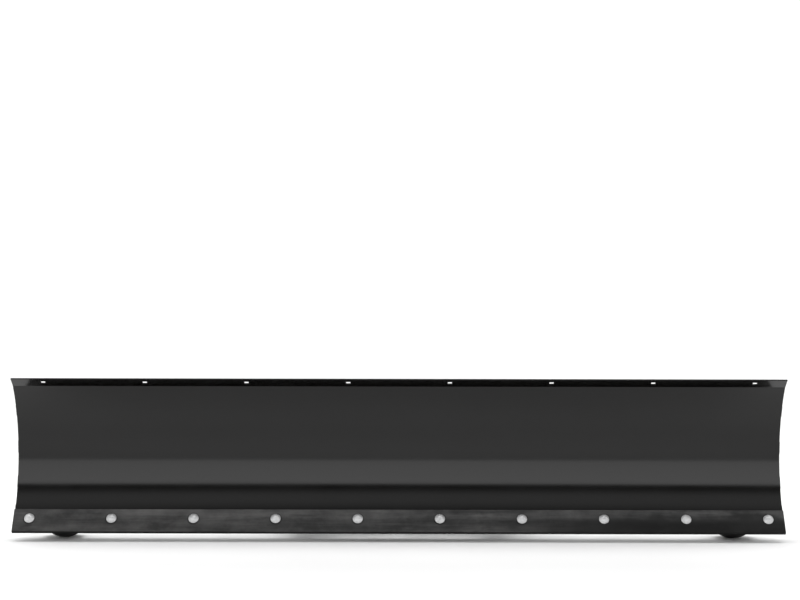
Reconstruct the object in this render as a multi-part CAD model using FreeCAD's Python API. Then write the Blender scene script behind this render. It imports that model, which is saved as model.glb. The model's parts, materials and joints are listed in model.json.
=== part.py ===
"""Snow plow for a side-by-side utility vehicle: a trip blade on an angling swivel and a push frame.

Axes: +X to the right, +Y towards the vehicle, +Z up, millimetres. The blade faces -Y and stands on two
skid shoes. Sizes below count Y from the front edge of the blade's top lip; save() then moves every
piece so that the origin is on the ground at the middle of the whole plow.

Bodies: push frame (fixed to the vehicle), swivel (turns about the king pin), blade (trips forward about
the trip pivot), two skid shoes (turn in their sockets) and the lock pin (slides up and down).
"""

import FreeCAD
import Part

import math
import os

# ---- blade profile, in the Y-Z plane, front face of the sheet -------------------------------------
BLADE_WIDTH = 1829.0
SHEET = 3.0
ARC_Y, ARC_Z, ARC_R = -160.0, 199.0, 250.0
ARC_TOP_DEG, ARC_BOTTOM_DEG = 38.0, -30.5
BEND_Z = 368.0
LIP_LENGTH, LIP_DEG = 30.4, 56.0
FLAT_DEG, FLAT_LENGTH = 34.0, 50.0
LIP_HOLE, LIP_HOLE_PITCH, LIP_HOLES = 10.0, 240.0, 8

# ---- wear bar and its bolts -----------------------------------------------------------------------
BAR_TOP, BAR_WIDTH, BAR_THICK, BAR_CHAMFER = 3.5, 60.0, 9.5, 0.8
BAR_BOLTS, BAR_BOLT_END = 10, 38.1
BAR_BOLT_DROP = 27.8
BOLT_R, BOLT_HEAD_R, BOLT_HEAD_H, BOLT_NECK = 5.55, 12.1, 6.0, 7.5
WASHER_R, WASHER_T = 14.0, 2.0
NUT_AF, NUT_T = 17.5, 9.5
LOWER_RAIL, LOWER_RAIL_T, SHELF_DROP = 45.0, 5.0, 2.0

# ---- ribs and rails behind the blade --------------------------------------------------------------
WELD_GAP = 0.3
RIB_T, RIB_R_OUT, RIB_TOP_DEG, RIB_BOTTOM_DEG = 5.0, 298.0, 29.5, -36.0
RIB_X = (-700.0, -460.0, 0.0, 460.0, 700.0)
TOP_RAIL, TOP_RAIL_WALL, TOP_RAIL_DEG = 25.0, 2.5, 33.0

# ---- trip pivot, between the blade and the swivel -------------------------------------------------
STATION_X = 230.0
PIVOT_Y, PIVOT_Z = 150.0, 112.0
PIVOT_RIB_T, PIVOT_GAP, PIVOT_LUG_R = 8.0, 60.0, 26.0
TRIP_BOLT_R, TRIP_BOLT_AF = 10.0, 30.0
BUSH_R_IN, BUSH_R_OUT = 10.05, 12.5
KNUCKLE_R = 17.0
RUNNING = 0.05

# ---- trip springs ---------------------------------------------------------------------------------
SPRING_TOP_DEG, SPRING_TOP_R = 26.0, 300.0
SPRING_REAR_Y, SPRING_REAR_Z = 340.0, 165.0
SPRING_LUG_R, SPRING_PIN_R = 16.0, 6.0
SPRING_WIRE_R, SPRING_MEAN_R, SPRING_TURNS = 3.5, 20.5, 31
SPRING_COLLAR, RING_R, RING_WIRE_R = 25.0, 14.5, 5.0

# ---- swivel ---------------------------------------------------------------------------------------
CROSS_HALF, CROSS_SIDE, CROSS_WALL = 290.0, 50.0, 5.0
CROSS_Y, CROSS_Z = 205.0, 112.0
SWIVEL_PLATE = 6.0
KING_Y, KING_R = 285.0, 12.0
SECTOR_R, LOCK_R, LOCK_STEP_DEG = 145.0, 125.0, 15.0
ANCHOR_T = 6.0

# ---- push frame -----------------------------------------------------------------------------------
ARM_SIDE, ARM_WALL = 38.0, 4.0
HEAD_PLATE, HEAD_GAP = 5.0, 1.0
HEAD_NOSE_R, HEAD_REAR_Y, HEAD_REAR_HALF = 45.0, 480.0, 118.0
ARM_FRONT = (42.0, 320.0)
ARM_REAR = (215.0, 790.0)
BRACE_Y = 520.0
REAR_HALF = 230.0
EAR_X, EAR_T, EAR_Y, EAR_Z, EAR_R = 250.0, 12.0, 840.0, 190.0, 25.0
HITCH_R, HITCH_BOSS_R, HITCH_LENGTH = 8.2, 18.0, 36.0

# ---- lock pin, stored raised ----------------------------------------------------------------------
LOCK_PIN_R, LOCK_HOLE_R, LOCK_TRAVEL = 9.5, 10.2, 24.0

# ---- skid shoes -----------------------------------------------------------------------------------
SHOE_X, SHOE_Y = 806.0, 116.0
STEM_R, SOCKET_R, SOCKET_Z0, SOCKET_Z1 = 11.0, 17.0, 62.0, 122.0
SOLE_R, DISH_SPHERE_R, DISH_RIM_R, DISH_RIM_T = 12.0, 60.0, 48.0, 4.5
HUB_R, HUB_Z = 19.0, 34.0
SPACERS_BELOW = 4

REAR_END = EAR_Y + EAR_R
PARTS = "parts"


# ==== small helpers ================================================================================
def vec(x, y, z):
    return FreeCAD.Vector(x, y, z)


def box(x0, x1, y0, y1, z0, z1):
    return Part.makeBox(x1 - x0, y1 - y0, z1 - z0, vec(x0, y0, z0))


def cylinder(start, axis, radius, length):
    return Part.makeCylinder(radius, length, start, axis)


def hex_prism(start, axis, across_flats, length):
    """A hexagonal bar along axis, with a flat side facing +-X where it can."""
    corners = [across_flats / math.sqrt(3) * math.cos(math.radians(60 * k + 30)) for k in range(6)]
    heights = [across_flats / math.sqrt(3) * math.sin(math.radians(60 * k + 30)) for k in range(6)]
    points = [vec(a, b, 0) for a, b in zip(corners, heights)]
    prism = Part.Face(Part.makePolygon(points + points[:1])).extrude(vec(0, 0, length))
    prism.Placement = FreeCAD.Placement(start, FreeCAD.Rotation(vec(0, 0, 1), axis))
    return prism


def polar(radius, degrees):
    """A (y, z) point at that radius and angle about the blade's arc centre."""
    angle = math.radians(degrees)
    return ARC_Y + radius * math.cos(angle), ARC_Z + radius * math.sin(angle)


def yz(points, x):
    return [vec(x, y, z) for y, z in points]


def plate_x(points, x0, thickness):
    """A flat plate in the Y-Z plane, from (y, z) corners, extruded along +X."""
    corners = yz(points, x0)
    return Part.Face(Part.makePolygon(corners + corners[:1])).extrude(vec(thickness, 0, 0))


def plate_z(points, z0, thickness):
    """A flat plate in the X-Y plane, from (x, y) corners, extruded along +Z."""
    corners = [vec(x, y, z0) for x, y in points]
    return Part.Face(Part.makePolygon(corners + corners[:1])).extrude(vec(0, 0, thickness))


def taper_x(c1, r1, c2, r2, x0, thickness):
    """A plate in the Y-Z plane: two round ends and the straight sides that touch both."""
    dy, dz = c2[0] - c1[0], c2[1] - c1[1]
    along, spread = math.atan2(dz, dy), math.acos((r1 - r2) / math.hypot(dy, dz))
    corners = []
    for centre, radius, side in ((c1, r1, 1), (c2, r2, 1), (c2, r2, -1), (c1, r1, -1)):
        angle = along + side * spread
        corners.append((centre[0] + radius * math.cos(angle), centre[1] + radius * math.sin(angle)))
    body = plate_x(corners, x0, thickness)
    for (y, z), radius in ((c1, r1), (c2, r2)):
        body = body.fuse(cylinder(vec(x0, y, z), vec(1, 0, 0), radius, thickness))
    return body.removeSplitter()


def tube_x(x0, x1, y, z, side, wall, turn_deg=0.0):
    """A square tube along X, centred on (y, z), turned about its own axis."""
    half, inner = side / 2, side / 2 - wall
    tube = box(x0, x1, y - half, y + half, z - half, z + half).cut(
        box(x0 - 1, x1 + 1, y - inner, y + inner, z - inner, z + inner)
    )
    tube.rotate(vec(0, y, z), vec(1, 0, 0), turn_deg)
    return tube


def mirrored(shape):
    return shape.mirror(vec(0, 0, 0), vec(1, 0, 0))


def both_sides(shape):
    return [mirrored(shape), shape]


def save(name, *shapes):
    """Writes one STEP of separate solids, moved so that the origin is under the middle of the plow."""
    solids = [s for shape in shapes for s in shape.Solids]
    moved = Part.makeCompound(solids)
    moved.translate(vec(0, -REAR_END / 2, 0))
    if not moved.isValid():
        raise ValueError(name + " is not valid")
    moved.exportStep(os.path.join(PARTS, name + ".step"))


# ==== blade profile ================================================================================
def bend_point():
    """Where the sheet's straight top stretch meets the lip, on the front face."""
    top_y, top_z = polar(ARC_R, ARC_TOP_DEG)
    return top_y - (BEND_Z - top_z) * math.tan(math.radians(ARC_TOP_DEG)), BEND_Z


def lip_edge():
    """The front edge of the lip, on its lower face. Its Y is the datum, close to zero."""
    y, z = bend_point()
    lean = math.radians(LIP_DEG)
    return y - LIP_LENGTH * math.sin(lean), z + LIP_LENGTH * math.cos(lean)


def flat_frame():
    """Top point of the flat that carries the wear bar, its direction down, and its normal to the rear."""
    lean = math.radians(FLAT_DEG)
    down = (-math.sin(lean), -math.cos(lean))
    rear = (math.cos(lean), -math.sin(lean))
    return polar(ARC_R, ARC_BOTTOM_DEG), down, rear


def on_flat(along, depth, x=0.0):
    """A point in the flat's own frame: distance down from its top, and distance behind its front face."""
    (y, z), down, rear = flat_frame()
    return vec(x, y + along * down[0] + depth * rear[0], z + along * down[1] + depth * rear[1])


def flat_slab(along0, along1, depth0, depth1, x0, x1):
    """A bar with the flat's slope, between two distances down it and two depths."""
    corners = ((along0, depth0), (along1, depth0), (along1, depth1), (along0, depth1))
    points = [(p.y, p.z) for p in (on_flat(a, d) for a, d in corners)]
    return plate_x(points, x0, x1 - x0)


def bar_bolt_xs():
    pitch = (BLADE_WIDTH - 2 * BAR_BOLT_END) / (BAR_BOLTS - 1)
    return [-BLADE_WIDTH / 2 + BAR_BOLT_END + k * pitch for k in range(BAR_BOLTS)]


def flat_axis():
    _, _, rear = flat_frame()
    return vec(0, rear[0], rear[1])


def square_cutter(centre, axis, side, length):
    """A square bar along an axis in the Y-Z plane, with two sides facing X."""
    cutter = Part.makeBox(side, side, length, vec(-side / 2, -side / 2, 0))
    cutter.Placement = FreeCAD.Placement(centre, FreeCAD.Rotation(vec(0, 0, 1), axis))
    return cutter


def moldboard():
    x0 = -BLADE_WIDTH / 2
    lip, bend = lip_edge(), bend_point()
    top, middle, bottom = (polar(ARC_R, a) for a in (ARC_TOP_DEG, 0.0, ARC_BOTTOM_DEG))
    end = on_flat(FLAT_LENGTH, 0)
    edges = [
        Part.makeLine(*yz((lip, bend), x0)),
        Part.makeLine(*yz((bend, top), x0)),
        Part.Arc(*yz((top, middle, bottom), x0)).toShape(),
        Part.makeLine(vec(x0, *bottom), vec(x0, end.y, end.z)),
    ]
    front = Part.Wire(edges)
    face = front.makeOffset2D(SHEET, join=2, fill=True, openResult=True)
    if face.BoundBox.YMax < front.BoundBox.YMax + SHEET / 2:
        face = front.makeOffset2D(-SHEET, join=2, fill=True, openResult=True)
    sheet = face.extrude(vec(BLADE_WIDTH, 0, 0))

    lean = math.radians(LIP_DEG)
    normal = vec(0, math.cos(lean), math.sin(lean))
    centre_y, centre_z = (lip[0] + bend[0]) / 2, (lip[1] + bend[1]) / 2
    for k in range(LIP_HOLES):
        x = (k - (LIP_HOLES - 1) / 2) * LIP_HOLE_PITCH
        start = vec(x, centre_y, centre_z) - normal * SHEET
        sheet = sheet.cut(square_cutter(start, normal, LIP_HOLE, 3 * SHEET))
    for x in bar_bolt_xs():
        hole = cylinder(on_flat(BAR_BOLT_DROP, -SHEET, x), flat_axis(), BOLT_R + 0.4, 3 * SHEET)
        sheet = sheet.cut(hole)
    return sheet


def wear_bar():
    half = BLADE_WIDTH / 2
    bar = flat_slab(BAR_TOP, BAR_TOP + BAR_WIDTH, -BAR_THICK, 0, -half, half)
    long_edges = [e for e in bar.Edges if e.Length > BLADE_WIDTH - 1]
    bar = bar.makeChamfer(BAR_CHAMFER, long_edges)
    for x in bar_bolt_xs():
        start = on_flat(BAR_BOLT_DROP, -1.5 * BAR_THICK, x)
        bar = bar.cut(square_cutter(start, flat_axis(), 2 * BOLT_R + 0.6, 2 * BAR_THICK))
    return bar


def lower_rail():
    half = BLADE_WIDTH / 2
    top, back = SHELF_DROP, SHEET
    leg = flat_slab(top, top + LOWER_RAIL, back, back + LOWER_RAIL_T, -half, half)
    shelf = flat_slab(top, top + LOWER_RAIL_T, back, back + LOWER_RAIL, -half, half)
    rail = leg.fuse(shelf).removeSplitter()
    for x in bar_bolt_xs():
        start = on_flat(BAR_BOLT_DROP, 0, x)
        rail = rail.cut(cylinder(start, flat_axis(), BOLT_R + 0.4, 4 * LOWER_RAIL_T))
    return rail


def carriage_bolt(x):
    """Domed head on the wear bar's face, square neck in its hole, round shank through to the nut."""
    axis = flat_axis()
    face = on_flat(BAR_BOLT_DROP, -BAR_THICK, x)
    ball_r = (BOLT_HEAD_R**2 + BOLT_HEAD_H**2) / (2 * BOLT_HEAD_H)
    ball = Part.makeSphere(ball_r, face + axis * (ball_r - BOLT_HEAD_H))
    dome = ball.common(cylinder(face - axis * BOLT_HEAD_H, axis, BOLT_HEAD_R, BOLT_HEAD_H))
    neck = square_cutter(face, axis, 2 * BOLT_R, BOLT_NECK)
    grip = BAR_THICK + SHEET + LOWER_RAIL_T + WASHER_T + NUT_T + 5.0
    shank = cylinder(face, axis, BOLT_R, grip - 1.2)
    tip = Part.makeCone(BOLT_R, BOLT_R - 1.2, 1.2, face + axis * (grip - 1.2), axis)
    return dome.fuse([neck, shank, tip]).removeSplitter()


def bar_washer(x):
    start = on_flat(BAR_BOLT_DROP, SHEET + LOWER_RAIL_T, x)
    ring = cylinder(start, flat_axis(), WASHER_R, WASHER_T)
    return ring.cut(cylinder(start, flat_axis(), BOLT_R + 0.4, WASHER_T))


def hex_nut(start, axis, across_flats, thickness, bore_r):
    """A hex nut whose corners are turned down on both faces."""
    nut = hex_prism(start, axis, across_flats, thickness)
    ball = Part.makeSphere(across_flats * 0.64, start + axis * (thickness / 2))
    return nut.common(ball).cut(cylinder(start - axis, axis, bore_r, thickness + 2))


def bar_nut(x):
    start = on_flat(BAR_BOLT_DROP, SHEET + LOWER_RAIL_T + WASHER_T, x)
    return hex_nut(start, flat_axis(), NUT_AF, NUT_T, BOLT_R + 0.1)


# ==== ribs and rails ===============================================================================
def sector(r_in, r_out, top_deg, bottom_deg, x0, thickness):
    """A curved plate that follows the blade's arc, in the Y-Z plane."""
    middle = (top_deg + bottom_deg) / 2
    inner = [polar(r_in, a) for a in (top_deg, middle, bottom_deg)]
    outer = [polar(r_out, a) for a in (bottom_deg, middle, top_deg)]
    edges = [
        Part.Arc(*yz(inner, x0)).toShape(),
        Part.makeLine(*yz((inner[-1], outer[0]), x0)),
        Part.Arc(*yz(outer, x0)).toShape(),
        Part.makeLine(*yz((outer[-1], inner[0]), x0)),
    ]
    return Part.Face(Part.Wire(edges)).extrude(vec(thickness, 0, 0))


def on_shelf(plate):
    """A rib plate cut off along the lower rail's shelf, which it stands on."""
    x0, x1 = plate.BoundBox.XMin - 1, plate.BoundBox.XMax + 1
    return plate.cut(flat_slab(SHELF_DROP - WELD_GAP, 150, -150, 150, x0, x1)).removeSplitter()


def rib(x):
    r_in = ARC_R + SHEET + WELD_GAP
    return on_shelf(sector(r_in, RIB_R_OUT, RIB_TOP_DEG, RIB_BOTTOM_DEG, x - RIB_T / 2, RIB_T))


def end_rib():
    return rib(BLADE_WIDTH / 2 - RIB_T / 2 - 1.0)


def top_rail():
    """A square tube lying against the back of the blade, under the lip."""
    half = BLADE_WIDTH / 2 - RIB_T - 2.0
    y, z = polar(ARC_R + SHEET + WELD_GAP + TOP_RAIL / 2, TOP_RAIL_DEG)
    return tube_x(-half, half, y, z, TOP_RAIL, TOP_RAIL_WALL, TOP_RAIL_DEG)


def spring_top():
    return polar(SPRING_TOP_R, SPRING_TOP_DEG)


def pivot_rib(x0):
    """A rib with a lug for the trip bolt low down and one for the spring pin high up."""
    r_in = ARC_R + SHEET + WELD_GAP
    body = sector(r_in, RIB_R_OUT, RIB_TOP_DEG, RIB_BOTTOM_DEG, x0, PIVOT_RIB_T)
    pivot, lug = (PIVOT_Y, PIVOT_Z), spring_top()
    body = body.fuse(taper_x(pivot, PIVOT_LUG_R, lug, SPRING_LUG_R, x0, PIVOT_RIB_T))
    body = body.fuse(taper_x(pivot, PIVOT_LUG_R, (92.0, 56.0), 12.0, x0, PIVOT_RIB_T))
    along = vec(1, 0, 0)
    for (y, z), radius in ((pivot, TRIP_BOLT_R + 0.1), (lug, SPRING_PIN_R + 0.1)):
        body = body.cut(cylinder(vec(x0 - 1, y, z), along, radius, PIVOT_RIB_T + 2))
    return on_shelf(body)


def pivot_ribs():
    inner = pivot_rib(STATION_X - PIVOT_GAP / 2 - PIVOT_RIB_T)
    outer = pivot_rib(STATION_X + PIVOT_GAP / 2)
    return both_sides(inner) + both_sides(outer)


# ==== trip pivot ===================================================================================
def trip_bolt():
    """A hex bolt through both ribs of a station and the swivel's knuckle between them."""
    out = vec(1, 0, 0)
    outer = STATION_X + PIVOT_GAP / 2 + PIVOT_RIB_T
    inner = STATION_X - PIVOT_GAP / 2 - PIVOT_RIB_T
    head = hex_prism(vec(outer, PIVOT_Y, PIVOT_Z), out, TRIP_BOLT_AF, 12.5)
    head = head.common(Part.makeSphere(TRIP_BOLT_AF * 0.62, vec(outer + 4.0, PIVOT_Y, PIVOT_Z)))
    shank = cylinder(vec(inner - 24.0, PIVOT_Y, PIVOT_Z), out, TRIP_BOLT_R, outer - inner + 24.0)
    return shank.fuse(head).removeSplitter()


def trip_nut():
    start = vec(STATION_X - PIVOT_GAP / 2 - PIVOT_RIB_T, PIVOT_Y, PIVOT_Z)
    return hex_nut(start, vec(-1, 0, 0), TRIP_BOLT_AF, 19.0, TRIP_BOLT_R + 0.1)


def knuckle():
    """The swivel's barrel between a pair of ribs, with the neck that joins it to the cross tube."""
    half = PIVOT_GAP / 2 - WELD_GAP
    start = vec(STATION_X - half, PIVOT_Y, PIVOT_Z)
    barrel = cylinder(start, vec(1, 0, 0), KNUCKLE_R, 2 * half)
    front = CROSS_Y - CROSS_SIDE / 2
    neck = box(STATION_X - 25, STATION_X + 25, PIVOT_Y, front, PIVOT_Z - 13, PIVOT_Z + 13)
    bore = cylinder(start - vec(1, 0, 0), vec(1, 0, 0), BUSH_R_OUT, 2 * half + 2)
    return barrel.fuse(neck).removeSplitter().cut(bore)


def trip_bush():
    half = PIVOT_GAP / 2 - WELD_GAP
    start = vec(STATION_X - half, PIVOT_Y, PIVOT_Z)
    ring = cylinder(start, vec(1, 0, 0), BUSH_R_OUT, 2 * half)
    return ring.cut(cylinder(start, vec(1, 0, 0), BUSH_R_IN, 2 * half))


def grease_fitting():
    foot = vec(STATION_X, PIVOT_Y, PIVOT_Z + KNUCKLE_R - 0.5)
    stem = cylinder(foot, vec(0, 0, 1), 3.5, 5.0)
    nipple = Part.makeCone(3.0, 2.0, 5.0, foot + vec(0, 0, 5.0))
    ball = Part.makeSphere(2.6, foot + vec(0, 0, 10.5))
    knuckle_barrel = cylinder(vec(0, PIVOT_Y, PIVOT_Z), vec(1, 0, 0), KNUCKLE_R, 2 * STATION_X)
    return stem.fuse([nipple, ball]).removeSplitter().cut(knuckle_barrel)


# ==== trip springs =================================================================================
def spring_line():
    """Both pin centres of a spring, and the direction from the rear one to the top one."""
    y, z = spring_top()
    top, rear = vec(STATION_X, y, z), vec(STATION_X, SPRING_REAR_Y, SPRING_REAR_Z)
    axis = (top - rear).normalize()
    return top, rear, axis


def trip_spring():
    top, rear, axis = spring_line()
    length = (top - rear).Length - 2 * (SPRING_COLLAR + 0.5)
    pitch = (length - 2 * SPRING_WIRE_R) / SPRING_TURNS
    helix = Part.makeHelix(pitch, pitch * SPRING_TURNS, SPRING_MEAN_R)
    edge = helix.Edges[0]
    start, along = edge.valueAt(edge.FirstParameter), edge.tangentAt(edge.FirstParameter)
    ring = Part.Wire([Part.makeCircle(SPRING_WIRE_R, start, along)])
    wound = Part.Wire(helix.Edges).makePipeShell([ring], True, True)
    foot = rear + axis * (SPRING_COLLAR + 0.5 + SPRING_WIRE_R)
    wound.Placement = FreeCAD.Placement(foot, FreeCAD.Rotation(vec(0, 0, 1), axis))
    return wound


def spring_end(centre, inward):
    """A ring that hangs loosely on the pin, its neck and collar, and the plug the coil is wound on to."""
    ring = Part.makeTorus(RING_R, RING_WIRE_R, centre, vec(1, 0, 0))
    neck = cylinder(centre + inward * RING_R, inward, 7.0, SPRING_COLLAR - RING_R)
    collar = cylinder(centre + inward * (SPRING_COLLAR - 4.0), inward, 23.0, 4.0)
    plug = cylinder(centre + inward * SPRING_COLLAR, inward, SPRING_MEAN_R - SPRING_WIRE_R - 0.5, 26.0)
    return ring.fuse([neck, collar, plug]).removeSplitter()


def spring_pin(centre, plate):
    """A headed clevis pin through a pair of plates, drilled for its cotter, and the tubes either side of
    the spring's ring that keep it in the middle."""
    reach = PIVOT_GAP / 2 + plate
    shank = cylinder(centre - vec(reach + 9, 0, 0), vec(1, 0, 0), SPRING_PIN_R, 2 * reach + 9)
    head = cylinder(centre + vec(reach, 0, 0), vec(1, 0, 0), 9.5, 4.0)
    hole = cylinder(centre - vec(reach + 4.5, 0, SPRING_PIN_R + 1), vec(0, 0, 1), 1.7, 2 * SPRING_PIN_R + 2)
    pieces = [shank.fuse(head).removeSplitter().cut(hole)]
    inner, outer = RING_WIRE_R + 1.5, PIVOT_GAP / 2 - WELD_GAP
    for x in (centre.x - outer, centre.x + inner):
        start = vec(x, centre.y, centre.z)
        spacer_tube = cylinder(start, vec(1, 0, 0), 9.0, outer - inner)
        pieces.append(spacer_tube.cut(cylinder(start, vec(1, 0, 0), SPRING_PIN_R + 0.1, outer - inner)))
    return pieces


def cotter(centre, plate):
    """A split pin with a round eye, standing in the pin's cross hole."""
    x = centre.x - PIVOT_GAP / 2 - plate - 4.5
    leg = cylinder(vec(x, centre.y, centre.z - 15), vec(0, 0, 1), 1.5, 15 + SPRING_PIN_R + 1)
    eye = Part.makeTorus(3.6, 1.4, vec(x, centre.y, centre.z + SPRING_PIN_R + 4.5), vec(1, 0, 0))
    return leg.fuse(eye).removeSplitter()


# ==== swivel =======================================================================================
def swivel_crosstube():
    return tube_x(-CROSS_HALF, CROSS_HALF, CROSS_Y, CROSS_Z, CROSS_SIDE, CROSS_WALL)


def tube_cap(x, y, z, side, wall):
    """A plastic plug for the +X end of a square tube: a thin flange and the block inside the tube."""
    half, inner = side / 2, side / 2 - wall - WELD_GAP
    flange = box(x, x + 3.0, y - half, y + half, z - half, z + half)
    flange = flange.makeChamfer(1.2, [e for e in flange.Edges if e.BoundBox.XMin > x + 2.9])
    block = box(x - 18.0, x, y - inner, y + inner, z - inner, z + inner)
    return flange.fuse(block).removeSplitter()


def swivel_plate(z0, disc_r, lock_holes):
    """A horizontal plate from the cross tube back to a round end about the king pin."""
    front, half = CROSS_Y - CROSS_SIDE / 2 + 2.0, 185.0
    rear = CROSS_Y + CROSS_SIDE / 2
    reach = math.hypot(half, KING_Y - rear)
    angle = math.atan2(rear - KING_Y, half) + math.acos(disc_r / reach)
    touch = (disc_r * math.cos(angle), KING_Y + disc_r * math.sin(angle))
    outline = [(half, front), (half, rear), touch, (-touch[0], touch[1]), (-half, rear), (-half, front)]
    up = vec(0, 0, 1)
    plate = plate_z(outline, z0, SWIVEL_PLATE)
    disc = cylinder(vec(0, KING_Y, z0), up, disc_r, SWIVEL_PLATE)
    disc = disc.common(box(-disc_r, disc_r, front, KING_Y + disc_r, z0 - 1, z0 + SWIVEL_PLATE + 1))
    plate = plate.fuse(disc).removeSplitter()
    plate = plate.cut(cylinder(vec(0, KING_Y, z0 - 1), up, KING_R + RUNNING, SWIVEL_PLATE + 2))
    if lock_holes:
        for step in range(-2, 3):
            turn = math.radians(step * LOCK_STEP_DEG)
            centre = vec(LOCK_R * math.sin(turn), KING_Y + LOCK_R * math.cos(turn), z0 - 1)
            plate = plate.cut(cylinder(centre, up, LOCK_HOLE_R, SWIVEL_PLATE + 2))
    return plate


def swivel_gusset():
    """An upright web between the two swivel plates, behind the cross tube."""
    rear, half = CROSS_Y + CROSS_SIDE / 2, CROSS_SIDE / 2
    low, high = CROSS_Z - half, CROSS_Z + half
    return plate_x([(rear, low), (rear + 42, low), (rear + 42, high), (rear, high)], 105.0, SWIVEL_PLATE)


def spring_anchor():
    """A pair of plates that carry a spring's rear pin, standing back from the cross tube."""
    rear = CROSS_Y + CROSS_SIDE / 2
    plates = []
    for x0 in (STATION_X - PIVOT_GAP / 2 - ANCHOR_T, STATION_X + PIVOT_GAP / 2):
        eye = (SPRING_REAR_Y, SPRING_REAR_Z)
        arm = taper_x(eye, SPRING_LUG_R, (rear + 20, CROSS_Z), 24.0, x0, ANCHOR_T)
        foot = plate_x([(rear, 88.5), (rear + 20, 88.5), (rear + 20, 135.5), (rear, 135.5)], x0, ANCHOR_T)
        arm = arm.fuse(foot).common(box(x0 - 1, x0 + 20, rear, 500, 0, 400))
        arm = arm.cut(cylinder(vec(x0 - 1, *eye), vec(1, 0, 0), SPRING_PIN_R + 0.1, ANCHOR_T + 2))
        plates.append(arm.removeSplitter())
    return plates


def stop_block():
    """A stub of square tube on top of the cross tube; the blade's ribs rest against the pad on its front."""
    front, rear = CROSS_Y - CROSS_SIDE / 2, CROSS_Y + CROSS_SIDE / 2
    low = CROSS_Z + CROSS_SIDE / 2
    x0, x1 = STATION_X - 38, STATION_X + 38
    shell = box(x0, x1, front, rear, low, low + 38)
    return shell.cut(box(x0 - 1, x1 + 1, front + 5, rear - 5, low - 1, low + 33))


def rib_edge_y(z):
    """Y of the straight rear edge of a pivot rib at that height."""
    (y1, z1), (y2, z2) = (PIVOT_Y, PIVOT_Z), spring_top()
    along = math.atan2(z2 - z1, y2 - y1)
    angle = along - math.acos((PIVOT_LUG_R - SPRING_LUG_R) / math.hypot(y2 - y1, z2 - z1))
    ey, ez = y1 + PIVOT_LUG_R * math.cos(angle), z1 + PIVOT_LUG_R * math.sin(angle)
    return ey + (z - ez) * (y2 - y1 + (SPRING_LUG_R - PIVOT_LUG_R) * math.cos(angle)) / (
        z2 - z1 + (SPRING_LUG_R - PIVOT_LUG_R) * math.sin(angle)
    )


def stop_pad():
    """A rubber pad whose front face has the slope of the ribs' rear edge, which it just clears."""
    low, high, back = 143.0, 171.0, CROSS_Y - CROSS_SIDE / 2
    clear = 0.4
    points = [(rib_edge_y(low) + clear, low), (back, low), (back, high), (rib_edge_y(high) + clear, high)]
    return plate_x(points, STATION_X - 38, 76)


# ==== push frame ===================================================================================
def head_plate(z0):
    """A plate of the push frame's head: a round nose about the king pin, widening to the rear."""
    reach = math.hypot(HEAD_REAR_HALF, HEAD_REAR_Y - KING_Y)
    angle = math.atan2(HEAD_REAR_Y - KING_Y, HEAD_REAR_HALF) - math.acos(HEAD_NOSE_R / reach)
    touch = (HEAD_NOSE_R * math.cos(angle), KING_Y + HEAD_NOSE_R * math.sin(angle))
    outline = [touch, (HEAD_REAR_HALF, HEAD_REAR_Y), (-HEAD_REAR_HALF, HEAD_REAR_Y), (-touch[0], touch[1])]
    up = vec(0, 0, 1)
    plate = plate_z(outline, z0, HEAD_PLATE)
    plate = plate.fuse(cylinder(vec(0, KING_Y, z0), up, HEAD_NOSE_R, HEAD_PLATE)).removeSplitter()
    plate = plate.cut(cylinder(vec(0, KING_Y, z0 - 1), up, KING_R + 0.1, HEAD_PLATE + 2))
    lock = vec(0, KING_Y + LOCK_R, z0 - 1)
    return plate.cut(cylinder(lock, up, LOCK_HOLE_R, HEAD_PLATE + 2))


def arm_levels():
    """Bottom and top of the push arms, which lie between the two head plates."""
    low = CROSS_Z - CROSS_SIDE / 2 + HEAD_GAP + HEAD_PLATE
    return low, low + ARM_SIDE


def king_tube():
    low, high = arm_levels()
    tube = cylinder(vec(0, KING_Y, low), vec(0, 0, 1), 20.0, high - low)
    return tube.cut(cylinder(vec(0, KING_Y, low), vec(0, 0, 1), KING_R + 0.1, high - low))


def arm_prism(half_width, low, high, extra):
    """The right push arm's outline as a solid bar, from its front end to past the rear tube's face."""
    (x0, y0), (x1, y1) = ARM_FRONT, ARM_REAR
    length = math.hypot(x1 - x0, y1 - y0)
    ux, uy = (x1 - x0) / length, (y1 - y0) / length
    x1, y1 = x1 + extra * ux, y1 + extra * uy
    side_x, side_y = half_width * uy, -half_width * ux
    corners = [
        (x0 + side_x, y0 + side_y),
        (x1 + side_x, y1 + side_y),
        (x1 - side_x, y1 - side_y),
        (x0 - side_x, y0 - side_y),
    ]
    return plate_z(corners, low, high - low)


def push_arm():
    low, high = arm_levels()
    outer = arm_prism(ARM_SIDE / 2, low, high, 40.0)
    inner = arm_prism(ARM_SIDE / 2 - ARM_WALL, low + ARM_WALL, high - ARM_WALL, 60.0)
    inner.translate(vec(0, -0.1, 0))
    return outer.cut(inner).common(box(0, 400, 250, ARM_REAR[1], 0, 400)).removeSplitter()


def middle_brace():
    """A square tube between the push arms, cut to their slope, which carries the lift loop."""
    low, high = arm_levels()
    middle = (low + high) / 2
    tube = tube_x(-200, 200, BRACE_Y, middle, ARM_SIDE, ARM_WALL)
    envelope = arm_prism(ARM_SIDE / 2, low - 1, high + 1, 60.0)
    tube = tube.cut([envelope, mirrored(envelope)])
    return min(tube.Solids, key=lambda solid: abs(solid.CenterOfMass.x))


def rear_crosstube():
    low, high = arm_levels()
    return tube_x(-REAR_HALF, REAR_HALF, ARM_REAR[1] + ARM_SIDE / 2, (low + high) / 2, ARM_SIDE, ARM_WALL)


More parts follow.
